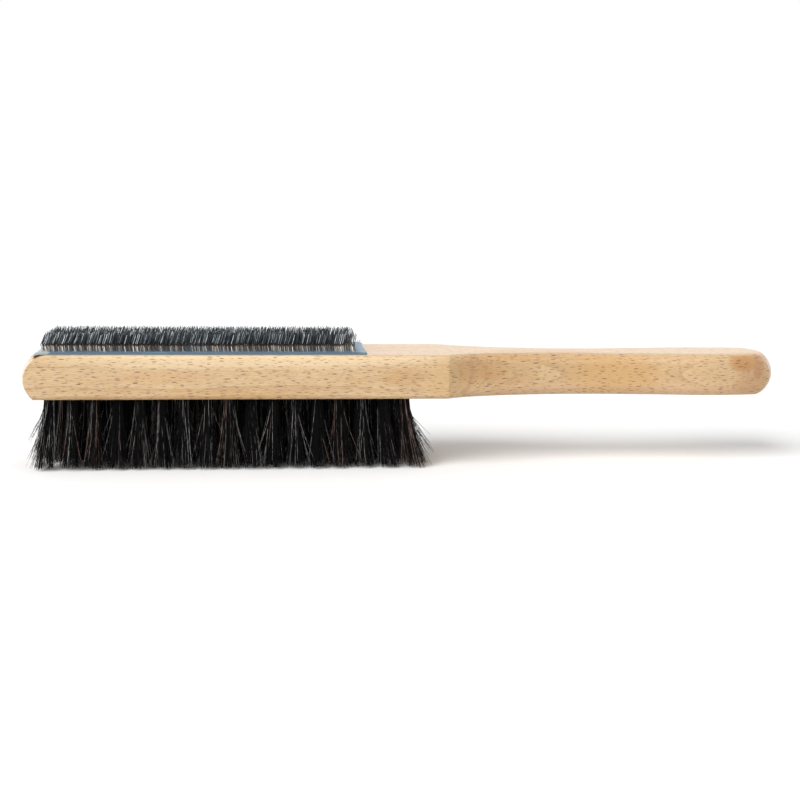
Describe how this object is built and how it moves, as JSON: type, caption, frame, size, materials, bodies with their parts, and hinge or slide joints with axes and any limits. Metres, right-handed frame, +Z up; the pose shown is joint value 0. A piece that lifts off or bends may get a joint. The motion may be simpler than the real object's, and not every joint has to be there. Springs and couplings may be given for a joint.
{
  "type": "two-sided hand brush",
  "caption": "Two-sided hand brush: black horsehair tufts under a beech stock with a handle, and a strip of kneed steel-wire card clothing on top.",
  "frame": {"origin": "under the middle of the brush, on the surface that the hair tips stand on", "axes": "+X from the head's free end to the handle's end, +Z up from the hair to the wire card, +Y across the width"},
  "size_m": [0.3, 0.039, 0.0525],
  "materials": {
    "beech": "satin",
    "black_horsehair": "satin",
    "anchor_wire": "satin",
    "cotton_cloth": "matt",
    "blue_rubber_face": "matt",
    "card_wire": "satin"
  },
  "bodies": {
    "root": {"beech_stock": "beech", "tuft_anchors": "anchor_wire", "hair_tufts_01": "black_horsehair", "hair_tufts_02": "black_horsehair", "hair_tufts_03": "black_horsehair", "hair_tufts_04": "black_horsehair", "hair_tufts_05": "black_horsehair", "hair_tufts_06": "black_horsehair", "hair_tufts_07": "black_horsehair", "hair_tufts_08": "black_horsehair", "hair_tufts_09": "black_horsehair", "hair_tufts_10": "black_horsehair", "hair_tufts_11": "black_horsehair", "hair_tufts_12": "black_horsehair", "hair_tufts_13": "black_horsehair", "hair_tufts_14": "black_horsehair", "hair_tufts_15": "black_horsehair", "hair_tufts_16": "black_horsehair", "hair_tufts_17": "black_horsehair", "card_cloth": "cotton_cloth", "card_face": "blue_rubber_face", "wire_row_01": "card_wire", "wire_row_02": "card_wire", "wire_row_03": "card_wire", "wire_row_04": "card_wire", "wire_row_05": "card_wire", "wire_row_06": "card_wire", "wire_row_07": "card_wire", "wire_row_08": "card_wire", "wire_row_09": "card_wire", "wire_row_10": "card_wire", "wire_row_11": "card_wire", "wire_row_12": "card_wire", "wire_row_13": "card_wire", "wire_row_14": "card_wire", "wire_row_15": "card_wire", "wire_row_16": "card_wire", "wire_row_17": "card_wire", "wire_row_18": "card_wire", "wire_row_19": "card_wire", "wire_row_20": "card_wire", "wire_row_21": "card_wire", "wire_row_22": "card_wire", "wire_row_23": "card_wire", "wire_row_24": "card_wire"}
  },
  "joints": []
}
